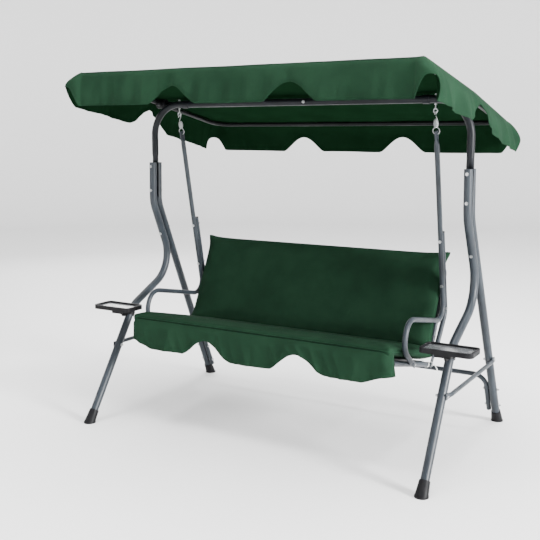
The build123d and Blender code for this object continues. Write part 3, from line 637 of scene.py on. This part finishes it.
cover, hem_line, seam_line, stitch_line = make_cover()
hem_stitches = stitches("canopy_stitches", stitch_line + stitch_line[:1], PIPING)
hem_binding = tube("canopy_hem", hem_line, HEM_R, CANOPY_CLOTH, closed=True)
top_seam = tube("canopy_seam", seam_line, TOP_SEAM_R, CANOPY_CLOTH, closed=True)
for piece in (cover, hem_binding, top_seam, hem_stitches):
    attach(piece, "canopy")
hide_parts("canopy_cover")

# ---- cushions -----------------------------------------------------------------------------
PAD_VOXEL = 0.009
PAD_PINCH = 0.012  # how much thinner the block is before it is blown up
PAD_PRESSURE = 4.0
PAD_STEPS = 20
PAD_REACH = 0.02  # the most a point moves while it is blown up
PAD_EDGE = 0.25  # how much thinner its edge is than its middle, as a share
PAD_EAR_FROM, PAD_EAR_RUN = 0.7, 0.3  # where its corners begin to point, as shares
PAD_UNDERSIDE = 0.8  # below this share of its half thickness it lies flat on the sling
PAD_UNDERSIDE_LEFT = 0.15
PAD_SEAM_R = 0.0021
PAD_SEAM_SUNK = 0.4  # the share of its radius that the seam is sunk into the cloth
PAD_CAST = 0.06  # how far outside the pad the search for its edge starts


def fitted(pad, half, ear):
    """Scales the pad to its half sizes, points its corners and flattens its lower face."""
    points = read_points(pad)
    low, high = points.min(axis=0), points.max(axis=0)
    points = (points - (low + high) / 2) * (2 * np.array(half) / (high - low))
    share = (np.abs(points[:, :2]) / half[:2] - PAD_EAR_FROM) / PAD_EAR_RUN
    share = np.clip(share, 0, 1) ** 2
    pull = ear * share[:, 0] * share[:, 1]
    points[:, 0] += np.sign(points[:, 0]) * pull
    points[:, 1] += np.sign(points[:, 1]) * pull * 0.3
    rest = -PAD_UNDERSIDE * half[2]
    below = points[:, 2] < rest
    points[below, 2] = rest + PAD_UNDERSIDE_LEFT * (points[below, 2] - rest)
    write_points(pad, points)


def edge_point(half, s):
    """Point of a rectangle's outline, s along it from its low corner."""
    if s < 2 * half[0]:
        return s - half[0], -half[1]
    if s < 2 * half[0] + 2 * half[1]:
        return half[0], s - 2 * half[0] - half[1]
    if s < 4 * half[0] + 2 * half[1]:
        return 3 * half[0] + 2 * half[1] - s, half[1]
    return -half[0], 4 * half[0] + 3 * half[1] - s


def seam_round(pad, half, inset=0.05, count=220):
    """The piped seam round the pad's edge, where its upper and lower cloth are sewn."""
    tree = BVHTree.FromPolygons(
        [v.co for v in pad.data.vertices], [f.vertices for f in pad.data.polygons]
    )
    around = 4 * (half[0] + half[1])
    points = []
    for i in range(count):
        x, y = edge_point(half, around * i / count)
        inner_x = max(inset - half[0], min(half[0] - inset, x))
        inner_y = max(inset - half[1], min(half[1] - inset, y))
        way = Vector((inner_x - x, inner_y - y, 0)).normalized()
        hit = tree.ray_cast(Vector((x, y, 0)) - way * PAD_CAST, way)[0]
        if hit is not None:
            points.append(hit - way * PAD_SEAM_R * PAD_SEAM_SUNK)
    return tube(f"{pad.name}_seam", points, PAD_SEAM_R, PIPING, closed=True)


def blow_up(pad):
    """Runs the pad as cloth under pressure, no point moving further than PAD_REACH."""
    before = read_points(pad)
    inflate = pad.modifiers.new("cloth", "CLOTH")
    settings = inflate.settings
    settings.quality = 4
    settings.mass = 0.3
    settings.tension_stiffness = 12
    settings.compression_stiffness = 12
    settings.shear_stiffness = 4
    settings.bending_stiffness = 0.4
    settings.use_pressure = True
    settings.uniform_pressure_force = PAD_PRESSURE
    settings.effector_weights.gravity = 0
    inflate.point_cache.frame_start = 1
    inflate.point_cache.frame_end = PAD_STEPS
    for step in range(1, PAD_STEPS + 1):
        bpy.context.scene.frame_set(step)
    apply_modifiers(pad)
    bpy.context.scene.frame_set(1)
    move = read_points(pad) - before
    length = np.linalg.norm(move, axis=1, keepdims=True)
    write_points(pad, before + move * np.minimum(1, PAD_REACH / np.maximum(length, 1e-9)))


def soft_pad(name, half, place, ear):
    """A stuffed pad with its seam: half holds its half sizes, place puts it on the seat."""
    bm = bmesh.new()
    bmesh.ops.create_cube(bm, size=2)
    bmesh.ops.subdivide_edges(bm, edges=bm.edges, cuts=7, use_grid_fill=True)
    for vert in bm.verts:
        u, v, w = vert.co
        thinner = 1 - PAD_EDGE * max(abs(u), abs(v)) ** 8
        vert.co = (
            u * (half[0] - PAD_PINCH),
            v * (half[1] - PAD_PINCH),
            w * (half[2] - PAD_PINCH) * thinner,
        )
    data = bpy.data.meshes.new(name)
    bm.to_mesh(data)
    bm.free()
    pad = add_object(name, data)
    remesh = pad.modifiers.new("remesh", "REMESH")
    remesh.mode = "VOXEL"
    remesh.voxel_size = PAD_VOXEL
    apply_modifiers(pad)
    blow_up(pad)
    smooth = pad.modifiers.new("smooth", "CORRECTIVE_SMOOTH")
    smooth.factor = 0.5
    smooth.iterations = 4
    smooth.use_only_smooth = True
    subdivide = pad.modifiers.new("subdivide", "SUBSURF")
    subdivide.levels = 1
    apply_modifiers(pad)
    fitted(pad, half, ear)
    pad.data.materials.clear()
    pad.data.materials.append(SEAT_CLOTH)
    for piece in (pad, seam_round(pad, half)):
        piece.data.transform(place)
        piece.data.shade_smooth()
        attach(piece, "seat")
    return pad


# Both pads lie on their slings and reach past their CAD blocks, so that they meet
SEAT_HALF = (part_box("seat_cushion")[1][0] + 0.003, 0.251, 0.0365)
seat_middle = middle("seat_sling") - seat_back_way * 0.01 + seat_up * 0.0352
seat_place = Matrix.Translation(seat_middle) @ Matrix.Rotation(-SEAT_TILT, 4, "X")
seat_pad = soft_pad("seat_pad", SEAT_HALF, seat_place, ear=0.004)
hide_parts("seat_cushion")

BACK_HALF = (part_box("back_cushion")[1][0] + 0.006, 0.228, 0.034)
back_middle = middle("back_sling") - back_up_way * 0.015 + back_front_way * 0.0325
back_place = Matrix.Translation(back_middle) @ Matrix.Rotation(math.pi / 2 - BACK_TILT, 4, "X")
back_pad = soft_pad("back_pad", BACK_HALF, back_place, ear=0.018)
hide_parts("back_cushion")

# ---- slings -------------------------------------------------------------------------------
SEAT_TUBE_R = 0.011
SEAT_POCKET_R = SEAT_TUBE_R + CLOTH_THICK
BACK_TUBE_R = 0.0095
BACK_POCKET_R = BACK_TUBE_R + CLOTH_THICK
FLAP = 0.03  # how far a pocket's inner end reaches from its tube
FLAP_SEAM = 0.028
SEAT_SLACK = 0.004
SEAT_RIPPLE = 0.0006
SLING_COLUMNS = 90


def cloth_strip(name, lines, material, thickness=CLOTH_THICK):
    """A sheet through lines of points, with its thickness."""
    verts = [point for line in lines for point in line]
    strip = mesh_object(name, verts, grid_faces(len(lines), len(lines[0])), material)
    thicken(strip, thickness)
    return strip


# The seat sling: pocket hems round the front and rear tubes, a little slack between them
front_tube = middle("seat_front_tube")
rear_tube = middle("seat_rear_tube")
flap_up = seat_up * (SEAT_POCKET_R - 2 * CLOTH_THICK)
path = [front_tube + seat_back_way * FLAP + flap_up]
path += arc(front_tube, seat_back_way, seat_up, SEAT_POCKET_R, -48, -270)
for step in np.linspace(0.06, 0.94, 16):
    sag = SEAT_SLACK * math.sin(math.pi * step)
    path.append(front_tube.lerp(rear_tube, float(step)) + seat_up * (SEAT_POCKET_R - sag))
path += arc(rear_tube, seat_back_way, seat_up, SEAT_POCKET_R, 90, -132)
path.append(rear_tube - seat_back_way * FLAP + flap_up)
sling_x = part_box("seat_sling")[1][0]
seat_sling = cloth_strip(
    "seat_sling_cloth",
    [
        [Vector((x, p.y, p.z + SEAT_RIPPLE * wander(x, 9, 9.0))) for p in path]
        for x in np.linspace(-sling_x, sling_x, SLING_COLUMNS)
    ],
    SLING,
)
sling_rows = []
for end, tube_at, way in (("front", front_tube, 1), ("rear", rear_tube, -1)):
    seam_at = tube_at + seat_back_way * (FLAP_SEAM * way) + seat_up * (SEAT_POCKET_R + 0.0004)
    row = [Vector((x, seam_at.y, seam_at.z)) for x in np.linspace(-sling_x, sling_x, 40)]
    sling_rows.append(stitches(f"seat_sling_{end}_stitches", row, CORD))
    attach(sling_rows[-1], "seat")
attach(seat_sling, "seat")
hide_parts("seat_sling")

# The back sling: a pocket over the frame's top tube, laced to its two sides
BACK_TUBE_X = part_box("back_frame")[1][0] - BACK_TUBE_R
# Heights up the back frame, from its lower end
BACK_TOP_UP = 0.424  # the top tube
BACK_BOLT_UP = 0.206
POCKET_END_UP = 0.39  # the pocket's end, behind the sling
BACK_FROM_UP, BACK_TO_UP = 0.05, 0.405  # the sling's flat face
BACK_BEND_FROM, BACK_BEND_RUN = 0.32, 0.09  # where the frame's top bends inwards
BACK_BEHIND = BACK_TUBE_R + 0.0025  # from the sling's plane to the tubes' middle
SLING_EDGE = BACK_TUBE_X - 0.036
SLING_NARROWER = 0.04
back_origin = middle("back_sling") - back_up_way * 0.237 + back_front_way * 0.0013
back_top = back_origin + back_up_way * BACK_TOP_UP - back_front_way * BACK_BEHIND
profile = [back_origin + back_up_way * POCKET_END_UP - back_front_way * 0.005]
profile += arc(back_top, back_up_way, back_front_way, BACK_POCKET_R, -125, 60)
profile += [
    back_origin + back_up_way * float(up) - back_front_way * 0.0022
    for up in np.linspace(BACK_TO_UP, BACK_FROM_UP, 40)
]


def sling_half(point):
    """Half width of the back sling: narrower where the frame's top bends."""
    up = (point - back_origin).dot(back_up_way)
    high = max(0.0, min(1.0, (up - BACK_BEND_FROM) / BACK_BEND_RUN))
    return SLING_EDGE - SLING_NARROWER * high * high * (3 - 2 * high)


back_sling = cloth_strip(
    "back_sling_cloth",
    [
        [Vector((share * sling_half(p), p.y, p.z)) for p in profile]
        for share in np.linspace(-1, 1, SLING_COLUMNS)
    ],
    SLING,
)
# One turn of the lacing, through the sling and round the side tube: distance from the
# middle, depth in front of the sling's plane, and rise
LACE_TURN = (
    (SLING_EDGE - 0.010, 0.0006, 0.0),
    (SLING_EDGE + 0.004, 0.0012, 0.002),
    (BACK_TUBE_X, -0.0003, 0.005),
    (BACK_TUBE_X + 0.008, -0.0045, 0.0065),
    (BACK_TUBE_X + 0.0108, -0.012, 0.008),
    (BACK_TUBE_X + 0.008, -0.0195, 0.0095),
    (BACK_TUBE_X, -0.0235, 0.011),
    (BACK_TUBE_X - 0.013, -0.017, 0.014),
    (SLING_EDGE - 0.002, -0.0052, 0.019),
    (SLING_EDGE - 0.010, -0.0046, 0.022),
)
# The turns' heights, none where the frame's bolt sits
lace_ups = [u for u in np.arange(0.066, 0.345, 0.032) if abs(u + 0.008 - BACK_BOLT_UP) > 0.022]
for side, sign in SIDES:
    points = []
    for up in lace_ups:
        for x, depth, rise in LACE_TURN:
            place = back_origin + back_up_way * float(up + rise) + back_front_way * depth
            points.append(Vector((sign * x, place.y, place.z)))
    lacing = tube(f"{side}_back_lacing", points, 0.0014, CORD, sides=7)
    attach(lacing, "seat")
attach(back_sling, "seat")
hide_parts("back_sling")

# Ties at the rear corners of the seat pad, wound round the side rails
TIE_WIDE = 0.011
TIE_THICK = 0.0008
TIE_LOOP_R = 0.0125
TIE_STEPS = 12
tie_at = middle("seat_sling") + seat_back_way * 0.188 - seat_up * 0.0123


def tie_line(side, sign):
    """A tie's middle line: down from the pad, once round the rail, then hanging free."""
    rail_x = middle(f"{side}_side_rail").x
    steps = [(-0.034, 0, 0.044), (-0.026, 0, 0.03), (-0.017, 0, 0.014)]
    steps += [
        (TIE_LOOP_R * math.cos(a), 0.004 * k / TIE_STEPS, TIE_LOOP_R * math.sin(a))
        for k, a in enumerate(np.radians(np.linspace(165, 400, TIE_STEPS)))
    ]
    steps += [
        (0.017, 0.006, 0.014),
        (0.026, 0.007, 0.011),
        (0.037, 0.008, 0.002),
        (0.046, 0.01, -0.011),
        (0.052, 0.012, -0.026),
    ]
    line = []
    for x, along, up in steps:
        spot = tie_at + seat_back_way * along + seat_up * up
        line.append(Vector((rail_x + sign * x, spot.y, spot.z)))
    return line


for side, sign in SIDES:
    line = tie_line(side, sign)
    edge = seat_back_way * (TIE_WIDE / 2)
    tie = cloth_strip(f"{side}_tie", [[p - edge, p, p + edge] for p in line], TIE, TIE_THICK)
    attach(tie, "seat")

# ---- seat skirt ---------------------------------------------------------------------------
valance_low, valance_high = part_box("seat_valance")
VALANCE_X = valance_high[0] + 0.004
VALANCE_Y = valance_low[1] + 0.002
VALANCE_TOP = valance_high[2]
VALANCE_DEEP = valance_high[2] - valance_low[2]
VALANCE_CORNER = 0.03
VALANCE_WRAP = 0.012  # how far it turns round the seat's corners
VALANCE_LENGTH = 2 * VALANCE_X + 2 * VALANCE_WRAP
VALANCE_NOTCH_X = 0.226
VALANCE_NOTCH = 0.074
VALANCE_END_NOTCH = 0.036
VALANCE_SCALLOP = 0.13  # half width of a notch
VALANCE_LOBE = 0.008  # how much deeper the middle lobe hangs
VALANCE_THICK = 0.0016
VALANCE_OUT = 0.012  # how far it stands off below its top
VALANCE_CREASES = ((0.009, 0.04, 5, 6.0), (0.006, -0.05, 6, 15.0))
VALANCE_WAVES = (0.002, 7, 40.0)
VALANCE_HEM_R = 0.0016
SEAT_PIPING_R = 0.0034


def valance_point(s, t):
    """Point of the seat skirt, s along it from its middle, t from its top to its hem."""
    over = max(0.0, abs(s) - VALANCE_X + VALANCE_CORNER)
    angle = min(over / VALANCE_CORNER, math.pi / 2)
    beyond = max(0.0, over - VALANCE_CORNER * math.pi / 2)
    x = math.copysign(
        min(abs(s), VALANCE_X - VALANCE_CORNER) + VALANCE_CORNER * math.sin(angle), s
    )
    y = VALANCE_Y + VALANCE_CORNER * (1 - math.cos(angle)) + beyond
    out = Vector((math.copysign(math.sin(angle), s), -math.cos(angle), 0))
    notch = VALANCE_NOTCH * bell(abs(s) - VALANCE_NOTCH_X, VALANCE_SCALLOP) ** 0.75
    end = VALANCE_END_NOTCH * bell(abs(s) - VALANCE_X - VALANCE_WRAP, VALANCE_SCALLOP) ** 0.7
    depth = VALANCE_DEEP - notch - end + VALANCE_LOBE * bell(s, 0.26)
    fold = folds(s, t, 1, VALANCE_CREASES, VALANCE_WAVES)
    out_by = VALANCE_OUT * math.sin(min(t * 3, 1) * math.pi / 2) + fold * min(1, 1.3 * t)
    drop_back = beyond * math.tan(SEAT_TILT)
    return Vector((x, y, VALANCE_TOP - depth * t - drop_back)) + out * (out_by - 0.004)


def make_seat_skirt(columns=260, rows=20):
    """A scalloped cloth along the seat's front, and its rows of points from top to hem."""
    lines = [
        [
            valance_point((c / (columns - 1) - 0.5) * VALANCE_LENGTH, r / (rows - 1))
            for c in range(columns)
        ]
        for r in range(rows)
    ]
    return cloth_strip("seat_skirt", lines, SEAT_CLOTH, VALANCE_THICK), lines


seat_skirt, skirt_lines = make_seat_skirt()
skirt_sewn = [point + Vector((0, -0.0011, 0)) for point in skirt_lines[-3]]
skirt_stitches = stitches("seat_skirt_stitches", skirt_sewn, PIPING)
skirt_binding = tube("seat_skirt_hem", skirt_lines[-1], VALANCE_HEM_R, SEAT_CLOTH)
seat_piping = tube("seat_piping", skirt_lines[0], SEAT_PIPING_R, SEAM_CLOTH, sides=10)
for piece in (seat_skirt, skirt_binding, seat_piping, skirt_stitches):
    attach(piece, "seat")
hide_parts("seat_valance")

# ---- springs ------------------------------------------------------------------------------
WIRE = 0.00175
EYE_WIRE = 0.003  # the eyebolt's wire
HOOK_R = 0.009
RING_R = 0.0145
SPRING_LONG = 0.089
COIL_FROM = 0.027
COIL_TURNS = 10
COIL_PITCH = 0.00335
COIL_STEPS = 20  # points a turn
COIL_END_R = 0.004
COIL_BELLY = 0.0052  # how much wider the coil is in its middle


def make_spring(side, sign):
    """A barrel spring: an open hook over the eyebolt, the coil, and a ring through the arm."""
    low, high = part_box(f"{side}_spring")
    eye_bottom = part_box(f"{side}_eyebolt")[0][2]
    top = Vector(((low[0] + high[0]) / 2, middle(f"{side}_eyebolt").y, eye_bottom + EYE_WIRE))
    side_way = Vector((sign, 0, 0))
    hook_centre = top + hang_down * (HOOK_R - EYE_WIRE - WIRE - 0.0003)
    points = arc(hook_centre, hang_out, hang_down, HOOK_R, -200, 75, 18)
    for i in range(COIL_TURNS * COIL_STEPS + 1):
        share = i / (COIL_TURNS * COIL_STEPS)
        belly = math.sin(math.pi * min(max(share, 0.02), 0.98)) ** 0.45
        radius = COIL_END_R + COIL_BELLY * belly
        angle = 2 * math.pi * i / COIL_STEPS
        centre = top + hang_down * (COIL_FROM + share * COIL_TURNS * COIL_PITCH)
        points.append(
            centre + side_way * (radius * math.cos(angle)) + hang_out * (radius * math.sin(angle))
        )
    ring_centre = top + hang_down * (SPRING_LONG - RING_R + 0.0015)
    points += arc(ring_centre, side_way, hang_down, RING_R, -80, 265, 26)
    spring = tube(f"{side}_coil_spring", points, WIRE, ZINC)
    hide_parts(f"{side}_spring")
    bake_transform(spring)


for side, sign in SIDES:
    make_spring(side, sign)

# ---- floor, light and camera --------------------------------------------------------------
WORLD_LIGHT = 0.55
# Fitted to the photo's perspective
CAMERA_AT = (1.870, -3.394, 1.345)
CAMERA_YAW = math.radians(30.56)
CAMERA_PITCH = math.radians(9.08)
CAMERA_LENS = 56.76  # millimetres, for a sensor 36 mm wide


def make_floor(inner=9.0, rise=3.0, height=9.0, around=64):
    """A round pale floor that curves up into a wall on all sides."""
    profile = [(0.001, 0), (inner, 0)]
    profile += [
        (inner + rise * math.sin(a), rise - rise * math.cos(a))
        for a in np.linspace(0.1, math.pi / 2, 12)
    ]
    profile.append((inner + rise, height))
    verts = [
        (r * math.cos(2 * math.pi * c / around), r * math.sin(2 * math.pi * c / around), z)
        for r, z in profile
        for c in range(around)
    ]
    pale = Shader("pale_floor", (0.9, 0.9, 0.9), 0.8)
    return mesh_object("floor", verts, grid_faces(len(profile), around, wrap=True), pale.material)


def soft_light(name, place, target, size, power):
    """A rectangular lamp turned towards a target."""
    data = bpy.data.lights.new(name, "AREA")
    data.shape = "RECTANGLE"
    data.size, data.size_y = size
    data.energy = power
    lamp = add_object(name, data)
    lamp.location = place
    lamp.rotation_euler = (Vector(target) - Vector(place)).to_track_quat("-Z", "Y").to_euler()


make_floor()

world = bpy.data.worlds.new("studio")
world.use_nodes = True
world.node_tree.nodes["Background"].inputs["Color"].default_value = (1.0, 1.0, 1.0, 1)
world.node_tree.nodes["Background"].inputs["Strength"].default_value = WORLD_LIGHT
bpy.context.scene.world = world

soft_light("key", (9.0, -1.2, 3.2), (0, 0, 1.1), (2.2, 2.6), 2700)
soft_light("front_fill", (-1.6, -6.0, 1.6), (0, 0, 1.0), (2.0, 1.4), 60)
soft_light("top", (0, 0, 6.0), (0, 0, 0), (5.0, 5.0), 900)
soft_light("rim", (-4.5, 3.5, 2.2), (0, 0, 1.0), (2.0, 1.6), 50)

camera_data = bpy.data.cameras.new("camera")
camera_data.sensor_width = 36
camera_data.lens = CAMERA_LENS
camera = add_object("camera", camera_data)
camera.location = CAMERA_AT
camera.rotation_euler = (math.pi / 2 - CAMERA_PITCH, 0, CAMERA_YAW)
bpy.context.scene.camera = camera
